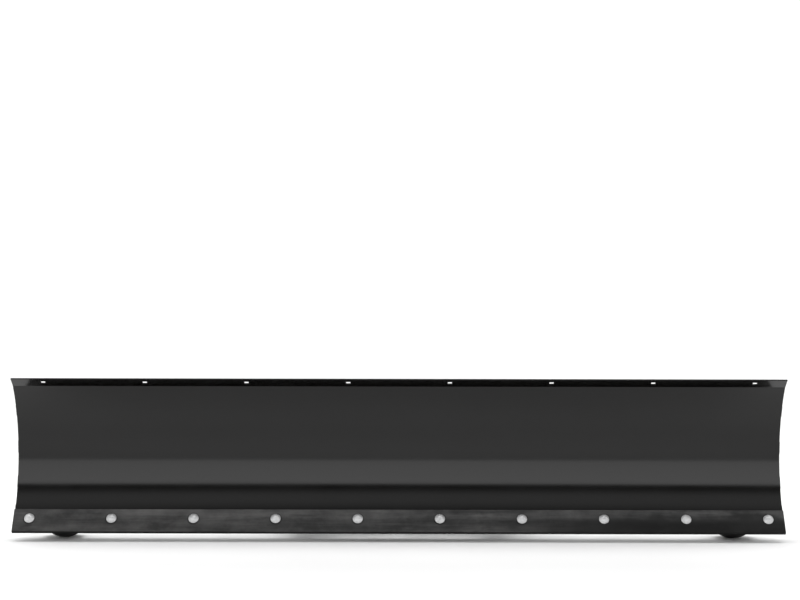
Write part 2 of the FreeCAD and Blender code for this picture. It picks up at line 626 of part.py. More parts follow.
def hitch_ear():
    """A forged ear at the right end of the rear tube, with the boss that the vehicle's pin goes through."""
    low, high = arm_levels()
    front, back = ARM_REAR[1], ARM_REAR[1] + ARM_SIDE
    x0 = REAR_HALF
    eye = (EAR_Y, EAR_Z)
    web = taper_x(eye, EAR_R, ((front + back) / 2 - 2, high), 17.0, x0, EAR_T)
    foot = box(x0, x0 + EAR_T, front, back, low, high)
    boss = cylinder(vec(x0 + EAR_T / 2 - HITCH_LENGTH / 2, *eye), vec(1, 0, 0), HITCH_BOSS_R, HITCH_LENGTH)
    ear = web.fuse([foot, boss]).removeSplitter()
    return ear.cut(cylinder(vec(0, *eye), vec(1, 0, 0), HITCH_R, 400))


def lift_loop():
    """A round bar bent to an upright U on the middle brace, for the winch hook."""
    _, high = arm_levels()
    half, bar_r, leg = 31.0, 6.0, 42.0
    path = Part.Wire(
        [
            Part.makeLine(vec(-half, BRACE_Y, high), vec(-half, BRACE_Y, high + leg)),
            Part.Arc(
                vec(-half, BRACE_Y, high + leg),
                vec(0, BRACE_Y, high + leg + half),
                vec(half, BRACE_Y, high + leg),
            ).toShape(),
            Part.makeLine(vec(half, BRACE_Y, high + leg), vec(half, BRACE_Y, high)),
        ]
    )
    ring = Part.Wire([Part.makeCircle(bar_r, vec(-half, BRACE_Y, high), vec(0, 0, 1))])
    return path.makePipeShell([ring], True, True)


# ==== king pin =====================================================================================
def swivel_levels():
    """Underside of the lower swivel plate and top of the upper one."""
    half = CROSS_SIDE / 2
    return CROSS_Z - half - SWIVEL_PLATE, CROSS_Z + half + SWIVEL_PLATE


def king_washer(z0):
    ring = cylinder(vec(0, KING_Y, z0), vec(0, 0, 1), 22.0, 4.0)
    return ring.cut(cylinder(vec(0, KING_Y, z0 - 1), vec(0, 0, 1), KING_R + 0.3, 6.0))


def king_pin():
    low, high = swivel_levels()
    top = high + 0.3 + 4.0
    head = hex_prism(vec(0, KING_Y, top), vec(0, 0, 1), 36.0, 15.0)
    head = head.common(Part.makeSphere(22.5, vec(0, KING_Y, top + 4.5)))
    shank = cylinder(vec(0, KING_Y, low - 36.0), vec(0, 0, 1), KING_R, top - low + 36.0)
    hole = cylinder(vec(-20, KING_Y, low - 30.0), vec(1, 0, 0), 2.2, 40)
    return shank.fuse(head).removeSplitter().cut(hole)


def king_nut():
    """A castle nut: a hex body with six slots in its lower end for the cotter pin."""
    low, _ = swivel_levels()
    start = vec(0, KING_Y, low - 0.3 - 4.0)
    nut = hex_nut(start, vec(0, 0, -1), 36.0, 19.0, KING_R + 0.1)
    crown = cylinder(start + vec(0, 0, -19.0), vec(0, 0, -1), 15.5, 9.0)
    crown = crown.cut(cylinder(start + vec(0, 0, -18.0), vec(0, 0, -1), KING_R + 0.1, 12.0))
    for k in range(3):
        slot = box(-20, 20, KING_Y - 2.6, KING_Y + 2.6, start.z - 30, start.z - 20)
        slot.rotate(vec(0, KING_Y, 0), vec(0, 0, 1), 60 * k)
        crown = crown.cut(slot)
    return nut.fuse(crown).removeSplitter()


def king_cotter():
    low, _ = swivel_levels()
    z = low - 30.0
    leg = cylinder(vec(-19, KING_Y, z), vec(1, 0, 0), 2.0, 40)
    eye = Part.makeTorus(4.4, 1.9, vec(24.5, KING_Y, z), vec(0, 1, 0))
    return leg.fuse(eye).removeSplitter()


# ==== lock pin =====================================================================================
def lock_levels():
    """Top of the sector plate, and the heights of the tower's lower and upper arms above it."""
    _, sector_top = swivel_levels()
    return sector_top, sector_top + 7.0, sector_top + 61.0


def lock_tower():
    """A bent bracket on the head that guides the lock pin above the sector plate."""
    _, plate_z0 = arm_levels()
    foot = plate_z0 + HEAD_PLATE
    _, lower, upper = lock_levels()
    y_pin, back = KING_Y + LOCK_R, KING_Y + SECTOR_R + 6.0
    arm = 6.0
    wall = box(-28, 28, back, back + 8, foot, upper + arm)
    tower = wall
    for z in (lower, upper):
        plate = box(-22, 22, y_pin, back, z, z + arm).fuse(cylinder(vec(0, y_pin, z), vec(0, 0, 1), 22, arm))
        tower = tower.fuse(plate)
    for x in (-22.0, 16.0):
        web = plate_x([(back + 8, foot), (back + 38, foot), (back + 8, upper - 10)], x, 6.0)
        tower = tower.fuse(web)
    tower = tower.removeSplitter()
    return tower.cut(cylinder(vec(0, y_pin, lower - 5), vec(0, 0, 1), LOCK_PIN_R + 0.15, 90))


def lock_pin():
    """The pin, its tip just above the sector plate, with a rounded nose."""
    sector_top, _, upper = lock_levels()
    y, tip = KING_Y + LOCK_R, sector_top + 3.0
    shank = cylinder(vec(0, y, tip + 3), vec(0, 0, 1), LOCK_PIN_R, upper + 46 - tip - 3)
    nose = Part.makeCone(LOCK_PIN_R - 2.5, LOCK_PIN_R, 3, vec(0, y, tip))
    pin = shank.fuse(nose).removeSplitter()
    handle_hole = cylinder(vec(-20, y, upper + 38), vec(1, 0, 0), 5.1, 40)
    collar_hole = cylinder(vec(-20, y, lock_collar_z() + 2.5), vec(1, 0, 0), 2.1, 40)
    return pin.cut([handle_hole, collar_hole])


def lock_collar_z():
    """Underside of the pin's collar, which meets the lower arm at full travel."""
    _, lower, _ = lock_levels()
    return lower + 6.0 + 1.0 + LOCK_TRAVEL


def lock_collar():
    y, z = KING_Y + LOCK_R, lock_collar_z()
    ring = cylinder(vec(0, y, z), vec(0, 0, 1), 15.5, 5.0)
    ring = ring.cut(cylinder(vec(0, y, z - 1), vec(0, 0, 1), LOCK_PIN_R + 0.05, 7.0))
    roll_pin = cylinder(vec(-15.5, y, z + 2.5), vec(1, 0, 0), 2.0, 31)
    ring = ring.cut(cylinder(vec(-20, y, z + 2.5), vec(1, 0, 0), 2.05, 40))
    return [ring, roll_pin]


def lock_handle():
    """A round cross bar through the pin, with a plastic ball on each end."""
    y, (_, _, upper) = KING_Y + LOCK_R, lock_levels()
    return cylinder(vec(-42, y, upper + 38), vec(1, 0, 0), 5.0, 84)


def lock_knob():
    y, (_, _, upper) = KING_Y + LOCK_R, lock_levels()
    ball = Part.makeSphere(10.5, vec(46, y, upper + 38))
    return ball.cut(cylinder(vec(30, y, upper + 38), vec(1, 0, 0), 5.05, 12.2))


def half_turn(mean_r, wire_r, pitch, turn, side):
    """Half of the wire's skin over half a turn of a coil: turn counts half turns, side is 0 or 1."""
    rise = pitch / (2 * math.pi)
    slant = math.hypot(mean_r, rise)
    grid = []
    for i in range(9):
        round_wire = math.pi * (side + i / 8)
        row = []
        for j in range(13):
            angle = math.pi * (turn + j / 12)
            out = vec(math.cos(angle), math.sin(angle), 0)
            across = vec(rise * math.sin(angle), -rise * math.cos(angle), mean_r) * (1 / slant)
            middle = out * mean_r + vec(0, 0, rise * angle)
            off = out * math.cos(round_wire) + across * math.sin(round_wire)
            row.append(middle + off * wire_r)
        grid.append(row)
    surface = Part.BSplineSurface()
    surface.interpolate(grid)
    return surface.toShape()


def coil(mean_r, wire_r, pitch, turns):
    """A coil of round wire up the Z axis from the origin, its skin in quarters of a turn."""
    skin = Part.makeShell([half_turn(mean_r, wire_r, pitch, k // 2, k % 2) for k in range(4 * turns)])
    skin.sewShape()
    uses = {}
    for face in skin.Faces:
        for edge in face.Edges:
            uses.setdefault(edge.hashCode(), []).append(edge)
    rims = Part.sortEdges([edges[0] for edges in uses.values() if len(edges) == 1])
    closed = Part.makeShell(skin.Faces + [Part.Face(Part.Wire(rim)) for rim in rims])
    closed.sewShape()
    solid = Part.makeSolid(closed)
    if solid.Volume < 0:
        solid.reverse()
    return solid


def lock_spring():
    """The compression spring between the collar and the upper arm, squeezed while the pin is up."""
    y, (_, _, upper) = KING_Y + LOCK_R, lock_levels()
    wire, turns = 1.1, 5
    low, high = lock_collar_z() + 5.0 + wire + 0.2, upper - wire - 0.2
    wound = coil(12.2, wire, (high - low) / turns, turns)
    wound.translate(vec(0, y, low))
    return wound


# ==== skid shoes ===================================================================================
def socket():
    axis = vec(0, 0, 1)
    start = vec(SHOE_X, SHOE_Y, SOCKET_Z0)
    tube = cylinder(start, axis, SOCKET_R, SOCKET_Z1 - SOCKET_Z0)
    return tube.cut(cylinder(start, axis, STEM_R + 0.08, SOCKET_Z1 - SOCKET_Z0))


def socket_brackets():
    """Two upright plates that hold a socket between them, behind the blade."""
    r_in = ARC_R + SHEET + WELD_GAP
    top, middle, bottom = (polar(r_in, a) for a in (-18.5, -24.0, -29.5))
    rear = SHOE_Y + 8.0
    plates = []
    for x0 in (SHOE_X - SOCKET_R - 6.0, SHOE_X + SOCKET_R):
        edges = [
            Part.Arc(*yz((top, middle, bottom), x0)).toShape(),
            Part.makeLine(*yz((bottom, (rear, SOCKET_Z0 + 4)), x0)),
            Part.makeLine(*yz(((rear, SOCKET_Z0 + 4), (rear, SOCKET_Z1 - 4)), x0)),
            Part.makeLine(*yz(((rear, SOCKET_Z1 - 4), top), x0)),
        ]
        plates.append(Part.Face(Part.Wire(edges)).extrude(vec(6.0, 0, 0)))
    return plates


def shoe_dish():
    """A cast mushroom shoe: a round sole, a thin rim and a hub, turned about the stem."""
    centre_z = math.sqrt(DISH_SPHERE_R**2 - SOLE_R**2)
    half_r = (SOLE_R + DISH_RIM_R) / 2

    def on_sphere(radius):
        return vec(SHOE_X + radius, SHOE_Y, centre_z - math.sqrt(DISH_SPHERE_R**2 - radius**2))

    def at(radius, z):
        return vec(SHOE_X + radius, SHOE_Y, z)

    rim = on_sphere(DISH_RIM_R)
    edges = [
        Part.makeLine(at(0, 0), on_sphere(SOLE_R)),
        Part.Arc(on_sphere(SOLE_R), on_sphere(half_r), rim).toShape(),
        Part.makeLine(rim, at(DISH_RIM_R, rim.z + DISH_RIM_T)),
        Part.makeLine(at(DISH_RIM_R, rim.z + DISH_RIM_T), at(HUB_R + 6, rim.z + DISH_RIM_T - 3)),
        Part.makeLine(at(HUB_R + 6, rim.z + DISH_RIM_T - 3), at(HUB_R, HUB_Z)),
        Part.makeLine(at(HUB_R, HUB_Z), at(0, HUB_Z)),
        Part.makeLine(at(0, HUB_Z), at(0, 0)),
    ]
    return Part.Face(Part.Wire(edges)).revolve(vec(SHOE_X, SHOE_Y, 0), vec(0, 0, 1), 360)


def spacer_thickness():
    return (SOCKET_Z0 - HUB_Z - 0.4) / SPACERS_BELOW


def shoe_stem():
    """The round stem, welded into the hub, cross-drilled for the lynch pin."""
    top = SOCKET_Z1 + spacer_thickness() + 22.0
    body = cylinder(vec(SHOE_X, SHOE_Y, HUB_Z), vec(0, 0, 1), STEM_R, top - HUB_Z - 2)
    tip = Part.makeCone(STEM_R, STEM_R - 2, 2, vec(SHOE_X, SHOE_Y, top - 2))
    stem = body.fuse(tip).removeSplitter()
    return stem.cut(cylinder(vec(SHOE_X - 20, SHOE_Y, lynch_z()), vec(1, 0, 0), 4.1, 40))


def lynch_z():
    return SOCKET_Z1 + spacer_thickness() + 7.5


def spacer(z0):
    t = spacer_thickness()
    ring = cylinder(vec(SHOE_X, SHOE_Y, z0), vec(0, 0, 1), SOCKET_R, t - 0.15)
    return ring.cut(cylinder(vec(SHOE_X, SHOE_Y, z0 - 1), vec(0, 0, 1), STEM_R + 0.4, t + 2))


def shoe_spacers():
    t = spacer_thickness()
    stack = [spacer(HUB_Z + k * t) for k in range(SPACERS_BELOW)]
    return stack + [spacer(SOCKET_Z1 + 0.4)]


def lynch_pin():
    """A short pin with a ring that snaps over the stem."""
    z, reach, wire = lynch_z(), 19.0, 1.8
    shank = cylinder(vec(SHOE_X - 16, SHOE_Y, z), vec(1, 0, 0), 4.0, 16 + reach + 3)
    head = cylinder(vec(SHOE_X + 14, SHOE_Y, z), vec(1, 0, 0), 6.0, 10)
    hoop = Part.makeTorus(reach, wire, vec(0, 0, 0), vec(0, 0, 1), 0, 360, 180)
    hoop.rotate(vec(0, 0, 0), vec(1, 0, 0), 38)
    hoop.translate(vec(SHOE_X, SHOE_Y, z))
    return shank.fuse([head, hoop]).removeSplitter()


# ==== everything ===================================================================================
def save_blade():
    save("moldboard", moldboard())
    save("wear_bar", wear_bar())
    save("wear_bar_bolts", *[carriage_bolt(x) for x in bar_bolt_xs()])
    save("wear_bar_washers", *[bar_washer(x) for x in bar_bolt_xs()])
    save("wear_bar_nuts", *[bar_nut(x) for x in bar_bolt_xs()])
    save("lower_rail", lower_rail())
    save("top_rail", top_rail())
    save("ribs", *[rib(x) for x in RIB_X])
    save("end_ribs", *both_sides(end_rib()))
    save("pivot_ribs", *pivot_ribs())
    save("trip_bolts", *both_sides(trip_bolt()), *both_sides(trip_nut()))
    top, _, axis = spring_line()
    save("spring_end_top_left", mirrored(spring_end(top, axis * -1)))
    save("spring_end_top_right", spring_end(top, axis * -1))
    pieces = spring_pin(top, PIVOT_RIB_T)
    save("spring_pins_top", *pieces, *[mirrored(piece) for piece in pieces])
    save("spring_cotters_top", *both_sides(cotter(top, PIVOT_RIB_T)))
    pieces = [socket()] + socket_brackets()
    save("shoe_sockets", *pieces, *[mirrored(piece) for piece in pieces])


def save_shoes():
    for side, place in (("left", mirrored), ("right", lambda shape: shape)):
        save("shoe_dish_" + side, place(shoe_dish()))
        save("shoe_stem_" + side, place(shoe_stem()))
        save("shoe_spacers_" + side, *[place(s) for s in shoe_spacers()])
        save("lynch_pin_" + side, place(lynch_pin()))


def save_swivel():
    low, high = swivel_levels()
    save("swivel_crosstube", swivel_crosstube())
    cap = tube_cap(CROSS_HALF, CROSS_Y, CROSS_Z, CROSS_SIDE, CROSS_WALL)
    save("swivel_tube_caps", *both_sides(cap))
    save("trip_knuckles", *both_sides(knuckle()))
    save("trip_bushes", *both_sides(trip_bush()))
    save("grease_fittings", *both_sides(grease_fitting()))
    save("swivel_sector_plate", swivel_plate(high - SWIVEL_PLATE, SECTOR_R, True))
    save("swivel_lower_plate", swivel_plate(low, 70.0, False))
    save("swivel_gussets", *both_sides(swivel_gusset()))
    anchors = spring_anchor()
    save("spring_anchors", *anchors, *[mirrored(a) for a in anchors])
    save("stop_blocks", *both_sides(stop_block()))
    save("stop_pads", *both_sides(stop_pad()))
    _, rear, axis = spring_line()
    save("spring_end_rear_left", mirrored(spring_end(rear, axis)))
    save("spring_end_rear_right", spring_end(rear, axis))
    pieces = spring_pin(rear, ANCHOR_T)
    save("spring_pins_rear", *pieces, *[mirrored(piece) for piece in pieces])
    save("spring_cotters_rear", *both_sides(cotter(rear, ANCHOR_T)))
    save("trip_spring_left", mirrored(trip_spring()))
    save("trip_spring_right", trip_spring())


def save_push_frame():
    low, high = arm_levels()
    save("head_plates", head_plate(high), head_plate(low - HEAD_PLATE))
    save("king_tube", king_tube())
    save("push_arm_left", mirrored(push_arm()))
    save("push_arm_right", push_arm())
    save("middle_brace", middle_brace())
    save("rear_crosstube", rear_crosstube())
    save("hitch_ear_left", mirrored(hitch_ear()))
    save("hitch_ear_right", hitch_ear())
    save("lift_loop", lift_loop())
    save("lock_tower", lock_tower())
    bottom, top = swivel_levels()
    save("king_pin", king_pin())
    save("king_washers", king_washer(top + 0.3), king_washer(bottom - 4.3))
    save("king_nut", king_nut())
    save("king_cotter", king_cotter())


def save_lock():
    save("lock_pin", lock_pin())
    save("lock_collar", *lock_collar())
    save("lock_handle", lock_handle())
    save("lock_knobs", *both_sides(lock_knob()))
    save("lock_spring", lock_spring())


os.makedirs(PARTS, exist_ok=True)
save_blade()
save_shoes()
save_swivel()
save_push_frame()
save_lock()
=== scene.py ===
"""Looks of the snow plow: camera, studio, materials, and the detail that rides on the CAD bodies.

Places on the plow are millimetres in its own axes, with Y counted from the front edge of the blade's
top lip; at() turns them into the row frame's metres. Sizes in materials, coils, floor and lights are
metres.
"""

import json
import math
import random

import bpy
import numpy as np
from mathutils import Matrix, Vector


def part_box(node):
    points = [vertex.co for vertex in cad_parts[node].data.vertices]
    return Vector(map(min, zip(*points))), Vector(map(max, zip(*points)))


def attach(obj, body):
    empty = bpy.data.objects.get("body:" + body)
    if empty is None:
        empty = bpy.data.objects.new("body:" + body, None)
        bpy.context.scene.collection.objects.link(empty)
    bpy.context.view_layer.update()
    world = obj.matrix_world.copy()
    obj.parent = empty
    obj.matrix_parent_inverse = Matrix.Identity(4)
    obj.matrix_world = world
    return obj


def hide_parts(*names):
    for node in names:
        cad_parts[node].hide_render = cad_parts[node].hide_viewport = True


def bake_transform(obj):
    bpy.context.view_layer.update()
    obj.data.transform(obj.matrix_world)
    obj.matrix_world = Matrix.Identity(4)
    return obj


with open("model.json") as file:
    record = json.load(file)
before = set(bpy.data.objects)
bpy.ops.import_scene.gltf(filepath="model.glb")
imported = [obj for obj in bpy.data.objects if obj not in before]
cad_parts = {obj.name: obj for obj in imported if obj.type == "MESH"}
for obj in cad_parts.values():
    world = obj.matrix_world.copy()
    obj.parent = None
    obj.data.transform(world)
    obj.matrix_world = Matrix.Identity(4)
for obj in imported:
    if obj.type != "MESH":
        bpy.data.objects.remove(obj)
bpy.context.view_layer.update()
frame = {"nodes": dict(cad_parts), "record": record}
scene = bpy.context.scene

LIP_TO_MIDDLE = 432.5
ARC_Y, ARC_Z, ARC_R, SHEET = -160.0, 199.0, 250.0, 3.0
FLAT_DEG, ARC_BOTTOM_DEG = 34.0, -30.5
SHELF_DROP, RAIL_LEG = 2.0, 45.0
BLADE_HALF = 914.5


def at(x, y, z):
    return Vector((x / 1000, (y - LIP_TO_MIDDLE) / 1000, z / 1000))


# ---- camera: level, straight ahead of the blade ----------------------------------------------------
CAMERA_AHEAD, CAMERA_HEIGHT, CAMERA_ASIDE = 4200.0, 573.0, 1.9
CAMERA_ROLL_DEG = -0.11
camera_data = bpy.data.cameras.new("camera")
camera_data.lens = 80.31
camera_data.sensor_width = 36.0
camera_data.clip_end = 500.0
camera = bpy.data.objects.new("camera", camera_data)
camera.location = at(CAMERA_ASIDE, -CAMERA_AHEAD, CAMERA_HEIGHT)
camera.rotation_euler = (math.radians(90), math.radians(CAMERA_ROLL_DEG), 0)
scene.collection.objects.link(camera)
scene.camera = camera
scene.view_settings.view_transform = "Standard"


# ---- node helpers ----------------------------------------------------------------------------------
def node(tree, kind, inputs=None, **settings):
    made = tree.nodes.new(kind)
    for name, value in settings.items():
        setattr(made, name, value)
    for name, value in (inputs or {}).items():
        if isinstance(value, bpy.types.NodeSocket):
            tree.links.new(value, made.inputs[name])
        else:
            made.inputs[name].default_value = value
    return made


def maths(tree, operation, a, b=0.0):
    return node(tree, "ShaderNodeMath", {0: a, 1: b}, operation=operation).outputs[0]


def scaled(tree, value, factor, offset):
    """value * factor + offset."""
    inputs = {0: value, 1: factor, 2: offset}
    return node(tree, "ShaderNodeMath", inputs, operation="MULTIPLY_ADD").outputs[0]


def weighted(tree, *terms):
    """The sum of (value, weight) terms."""
    total = maths(tree, "MULTIPLY", *terms[0])
    for value, weight in terms[1:]:
        total = maths(tree, "ADD", total, maths(tree, "MULTIPLY", value, weight))
    return total


def between(tree, value, low, high):
    """0 at low and below, 1 at high and above, smooth between; low may be the greater one."""
    inputs = {"Value": value, "From Min": low, "From Max": high}
    return node(tree, "ShaderNodeMapRange", inputs, interpolation_type="SMOOTHSTEP").outputs["Result"]


def split(tree, vector):
    """The X, Y and Z of a vector."""
    return node(tree, "ShaderNodeSeparateXYZ", {0: vector}).outputs


def noise(tree, coords, scale, detail=3.0, rough=0.5, stretch=(1, 1, 1), shift=(0, 0, 0)):
    mapped = node(tree, "ShaderNodeMapping", {"Vector": coords, "Scale": stretch, "Location": shift})
    inputs = {"Vector": mapped.outputs[0], "Scale": scale, "Detail": detail, "Roughness": rough}
    return node(tree, "ShaderNodeTexNoise", inputs).outputs["Fac"]


def ramp(tree, value, stops):
    made = node(tree, "ShaderNodeValToRGB", {"Fac": value})
    elements = made.color_ramp.elements
    while len(elements) < len(stops):
        elements.new(0.5)
    for element, (position, colour) in zip(elements, stops):
        element.position = position
        element.color = (*colour, 1)
    return made.outputs["Color"]


def mix(tree, amount, a, b):
    """Colour a, turning into colour b as amount goes from 0 to 1."""
    made = node(tree, "ShaderNodeMix", data_type="RGBA")
    for socket, value in ((made.inputs[0], amount), (made.inputs[6], a), (made.inputs[7], b)):
        if isinstance(value, bpy.types.NodeSocket):
            tree.links.new(value, socket)
        else:
            socket.default_value = value if socket == made.inputs[0] else (*value, 1)
    return made.outputs[2]


def grey(level, warm=0.0):
    return (level * (1 + warm), level, level * (1 - warm))


def start_material(name):
    material = bpy.data.materials.new(name)
    material.use_nodes = True
    tree = material.node_tree
    tree.nodes.clear()
    shader = tree.nodes.new("ShaderNodeBsdfPrincipled")
    output = tree.nodes.new("ShaderNodeOutputMaterial")
    tree.links.new(shader.outputs[0], output.inputs[0])
    coords = tree.nodes.new("ShaderNodeTexCoord").outputs["Object"]
    return material, tree, shader, coords


def bump(tree, shader, height, distance, edge=0.0):
    """Surface relief, and if edge is given, edges that look rounded to that radius."""
    made = node(tree, "ShaderNodeBump", {"Height": height, "Distance": distance})
    if edge:
        rounded = node(tree, "ShaderNodeBevel", {"Radius": edge}, samples=4)
        tree.links.new(rounded.outputs[0], made.inputs["Normal"])
    tree.links.new(made.outputs[0], shader.inputs["Normal"])


# ---- materials -------------------------------------------------------------------------------------
def powder_coat(name, level, rough, specular, peel, edge):
    """Semi-gloss black powder coat: fine orange peel, and a colour and gloss that wander a little."""
    material, tree, shader, coords = start_material(name)
    blotch = noise(tree, coords, 9.0, 4.0, 0.6)
    speck = noise(tree, coords, 900.0, 2.0, 0.5)
    colour = ramp(tree, blotch, [(0.3, grey(level * 0.8, 0.10)), (0.7, grey(level * 1.25, 0.04))])
    colour = mix(tree, maths(tree, "MULTIPLY", speck, 0.25), colour, grey(level * 1.8))
    tree.links.new(colour, shader.inputs["Base Color"])
    tree.links.new(scaled(tree, blotch, 0.06, rough - 0.03), shader.inputs["Roughness"])
    shader.inputs["Specular IOR Level"].default_value = specular
    height = maths(tree, "ADD", noise(tree, coords, 420.0, 2.0, 0.5), maths(tree, "MULTIPLY", speck, 0.3))
    bump(tree, shader, height, peel, edge)
    return material


# The wear bar's edges as distances down the flat from the arc's end, and its row of bolts.
BAR_TOP, BAR_BOTTOM = 0.0035, 0.0635
BOLTS, BOLT_END, BOLT_DROP = 10, 0.0381, 0.0278
# Painted shade and grime round each bolt head: how far its rim sits below the bolt, and its outer and inner
# radii.
SHADE_GRIME_DROP, SHADE_GRIME_OUTER, SHADE_GRIME_INNER = 0.0018, 0.0165, 0.0125


def along_flat(tree, coords):
    """Distance down the flat that carries the wear bar, from the end of the arc above it."""
    lean, start = math.radians(FLAT_DEG), math.radians(ARC_BOTTOM_DEG)
    top = at(0, ARC_Y + ARC_R * math.cos(start), ARC_Z + ARC_R * math.sin(start))
    down = Vector((0, -math.sin(lean), -math.cos(lean)))
    made = node(tree, "ShaderNodeVectorMath", {0: coords, 1: down}, operation="DOT_PRODUCT")
    return maths(tree, "SUBTRACT", made.outputs["Value"], down.dot(top))


def around_bolts(tree, x, down):
    """1 by each bolt head and 0 further out, for the rim of painted shade and grime that lies a little lower.
    """
    pitch = (2 * BLADE_HALF / 1000 - 2 * BOLT_END) / (BOLTS - 1)
    first = maths(tree, "ADD", x, BLADE_HALF / 1000 - BOLT_END + pitch / 2)
    aside = maths(tree, "SUBTRACT", maths(tree, "MODULO", first, pitch), pitch / 2)
    below = maths(tree, "SUBTRACT", down, BOLT_DROP + SHADE_GRIME_DROP)
    squares = maths(tree, "ADD", maths(tree, "POWER", aside, 2.0), maths(tree, "POWER", below, 2.0))
    return between(tree, maths(tree, "SQRT", squares), SHADE_GRIME_OUTER, SHADE_GRIME_INNER)


def mill_steel():
    """Dark rolled flat bar: mill scale in streaks along it, darker towards its bottom edge and its right end
    with oily patches there, painted shade and grime round the bolts, a painted highlight along its top edge
    and painted shade on its underside."""
    material, tree, shader, coords = start_material("mill_scale_steel")
    streak = noise(tree, coords, 46.0, 6.0, 0.6, stretch=(0.06, 1, 1))
    cloud = noise(tree, coords, 6.0, 5.0, 0.6, stretch=(0.8, 3, 3), shift=(5.3, 0, 0))
    smudge = noise(tree, coords, 26.0, 5.0, 0.65, shift=(0, 5, 2))
    fine = noise(tree, coords, 330.0, 3.0, 0.6, stretch=(0.035, 1, 1), shift=(1, 3, 0))
    speck = noise(tree, coords, 420.0, 3.0, 0.7, stretch=(0.6, 1, 1))
    value = weighted(tree, (streak, 0.34), (cloud, 0.36), (smudge, 0.22), (fine, 0.07), (speck, 0.04))
    value = maths(tree, "SUBTRACT", value, 0.04)
    stops = [(0.32, grey(0.008)), (0.42, grey(0.028)), (0.52, grey(0.062, 0.01)), (0.64, grey(0.105, 0.02))]
    colour = ramp(tree, value, stops)

    x = split(tree, coords)[0]
    down = along_flat(tree, coords)
    # Darker towards the right end and towards the bottom edge.
    darker_right_and_low = scaled(tree, between(tree, x, 0.10, 0.62), 0.66, 0.34)
    darker_right_and_low = maths(tree, "MULTIPLY", darker_right_and_low, between(tree, down, 0.008, 0.044))
    colour = mix(tree, darker_right_and_low, colour, grey(0.004))
    oily = noise(tree, coords, 9.0, 4.0, 0.6, stretch=(1, 2, 2), shift=(7, 1, 0))
    oily = maths(tree, "ADD", oily, maths(tree, "MULTIPLY", between(tree, x, 0.45, 0.95), 0.16))
    oily = maths(tree, "ADD", oily, maths(tree, "MULTIPLY", between(tree, down, 0.01, 0.06), 0.10))
    colour = mix(tree, maths(tree, "MULTIPLY", between(tree, oily, 0.62, 0.76), 0.65), colour, grey(0.010))
    # Painted shade and grime in a rim round each bolt head, a little below it.
    colour = mix(tree, maths(tree, "MULTIPLY", around_bolts(tree, x, down), 0.75), colour, grey(0.006))
    # Painted highlight along the top edge of the bar.
    top_edge_highlight = maths(tree, "MULTIPLY", between(tree, down, BAR_TOP + 0.0012, BAR_TOP - 0.0004), 0.35)
    colour = mix(tree, top_edge_highlight, colour, grey(0.11))
    # Painted shade on the underside of the bar.
    underside_shade = between(tree, down, BAR_BOTTOM - 0.0009, BAR_BOTTOM - 0.0003)
    colour = mix(tree, underside_shade, colour, grey(0.002))
    tree.links.new(colour, shader.inputs["Base Color"])

    tree.links.new(scaled(tree, streak, 0.35, 0.36), shader.inputs["Roughness"])
    shader.inputs["Metallic"].default_value = 0.15
    shader.inputs["Specular IOR Level"].default_value = 0.16
    bump(tree, shader, weighted(tree, (streak, 0.5), (smudge, 0.5)), 0.0002)
    return material


def zinc_plate():
    """Dull zinc plating, with clouds and a fine grain."""
    level, rough = 0.52, 0.48
    material, tree, shader, coords = start_material("zinc_plate")
    cloud = noise(tree, coords, 120.0, 4.0, 0.6)
    grain = noise(tree, coords, 1400.0, 2.0, 0.5)
    stops = [(0.30, grey(level * 0.72, -0.01)), (0.55, grey(level, -0.005)), (0.75, grey(level * 1.15, 0.01))]
    colour = ramp(tree, weighted(tree, (cloud, 0.7), (grain, 0.3)), stops)
    tree.links.new(colour, shader.inputs["Base Color"])
    tree.links.new(scaled(tree, cloud, 0.2, rough - 0.08), shader.inputs["Roughness"])
    shader.inputs["Metallic"].default_value = 0.6
    bump(tree, shader, grain, 0.00003)
    return material


def cast_iron():
    """A black painted casting that shows the sand it was cast in."""
    material, tree, shader, coords = start_material("painted_casting")
    sand = noise(tree, coords, 380.0, 4.0, 0.6)
    lump = noise(tree, coords, 60.0, 3.0, 0.5)
    stops = [(0.35, grey(0.004)), (0.65, grey(0.011, 0.05))]
    tree.links.new(ramp(tree, lump, stops), shader.inputs["Base Color"])
    shader.inputs["Roughness"].default_value = 0.5
    shader.inputs["Specular IOR Level"].default_value = 0.18
    bump(tree, shader, maths(tree, "ADD", sand, maths(tree, "MULTIPLY", lump, 1.5)), 0.00025)
    return material


def spring_steel():
    """Dark oiled wire."""
    material, tree, shader, coords = start_material("oiled_spring_steel")
    cloud = noise(tree, coords, 90.0, 4.0, 0.6)
    stops = [(0.3, grey(0.018)), (0.7, grey(0.05, 0.02))]
    tree.links.new(ramp(tree, cloud, stops), shader.inputs["Base Color"])
    tree.links.new(scaled(tree, cloud, 0.25, 0.22), shader.inputs["Roughness"])
    shader.inputs["Metallic"].default_value = 0.5
    bump(tree, shader, noise(tree, coords, 500.0, 2.0), 0.00003)
    return material


def bronze():
    """Plain bearing bronze, a little stained."""
    material, tree, shader, coords = start_material("plain_bronze")
    cloud = noise(tree, coords, 150.0, 4.0, 0.6)
    stops = [(0.3, (0.30, 0.17, 0.06)), (0.7, (0.55, 0.36, 0.14))]
    tree.links.new(ramp(tree, cloud, stops), shader.inputs["Base Color"])
    shader.inputs["Metallic"].default_value = 1.0
    shader.inputs["Roughness"].default_value = 0.38
    bump(tree, shader, noise(tree, coords, 900.0, 2.0), 0.00002)
    return material


def moulded(name, level, rough, grain_scale):
    """Rubber or plastic with a fine moulded grain."""
    material, tree, shader, coords = start_material(name)
    cloud = noise(tree, coords, 40.0, 4.0, 0.6)
    stops = [(0.3, grey(level * 0.8)), (0.7, grey(level * 1.3))]
    tree.links.new(ramp(tree, cloud, stops), shader.inputs["Base Color"])
    tree.links.new(scaled(tree, cloud, 0.2, rough - 0.1), shader.inputs["Roughness"])
    shader.inputs["Specular IOR Level"].default_value = 0.35
    bump(tree, shader, noise(tree, coords, grain_scale, 2.0), 0.00006)
    return material


